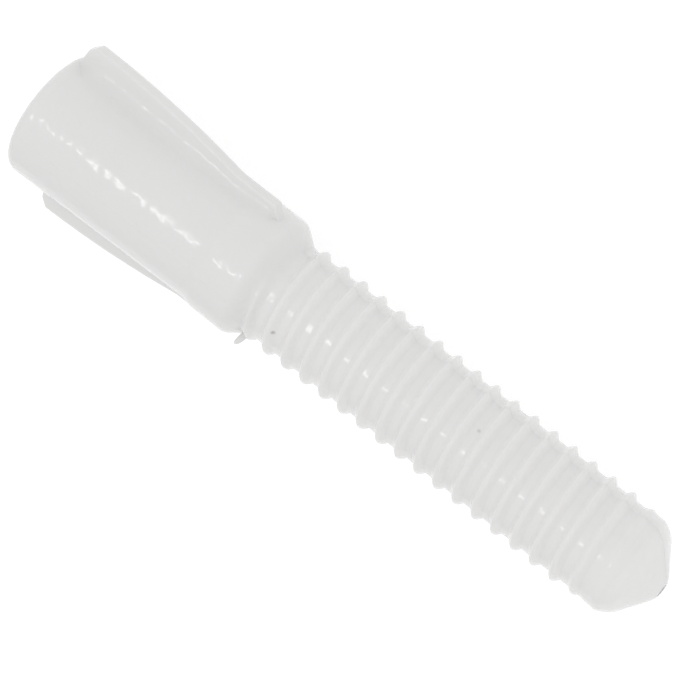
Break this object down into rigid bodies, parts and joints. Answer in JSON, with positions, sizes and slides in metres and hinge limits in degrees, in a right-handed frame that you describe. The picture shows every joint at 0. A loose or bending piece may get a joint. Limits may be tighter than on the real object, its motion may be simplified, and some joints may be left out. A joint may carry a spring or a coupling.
{
  "type": "plastic wall anchor",
  "caption": "Plastic expansion plug for masonry: a smooth winged head with a screw bore, a parallel collar, and a split threaded shank whose two legs spread behind a blunt nose.",
  "frame": {"origin": "centre of the head's flat end face, which is also the centre of the wall hole's mouth once the plug is pushed in flush", "axes": "+X along the plug from the head to the nose, the two wings point to +Y and -Y, and the slit between the legs lies in the XY plane with leg_a above it at +Z"},
  "size_m": [0.04, 0.01, 0.0072],
  "materials": {
    "plug_plastic": "natural translucent polyethylene, as moulded"
  },
  "bodies": {
    "sleeve": {"head_core": "plug_plastic", "wing_a": "plug_plastic", "wing_b": "plug_plastic", "collar": "plug_plastic"},
    "upper_leg": {"leg_a": "plug_plastic", "thread_a": "plug_plastic", "nose_a": "plug_plastic"},
    "lower_leg": {"leg_b": "plug_plastic", "thread_b": "plug_plastic", "nose_b": "plug_plastic"}
  },
  "joints": [
    {"name": "leg_a_spread", "type": "hinge", "parent": "sleeve", "child": "upper_leg", "pos_m": [0.0156, 0, 0.0027], "axis": [0, -1, 0], "range_deg": [0, 3], "stiffness_Nm_per_rad": 0.02},
    {"name": "leg_b_spread", "type": "hinge", "parent": "sleeve", "child": "lower_leg", "pos_m": [0.0156, 0, -0.0027], "axis": [0, 1, 0], "range_deg": [0, 3], "stiffness_Nm_per_rad": 0.02}
  ],
  "couplings": [
    {"joint": "leg_b_spread", "follows": "leg_a_spread", "ratio": 1}
  ]
}
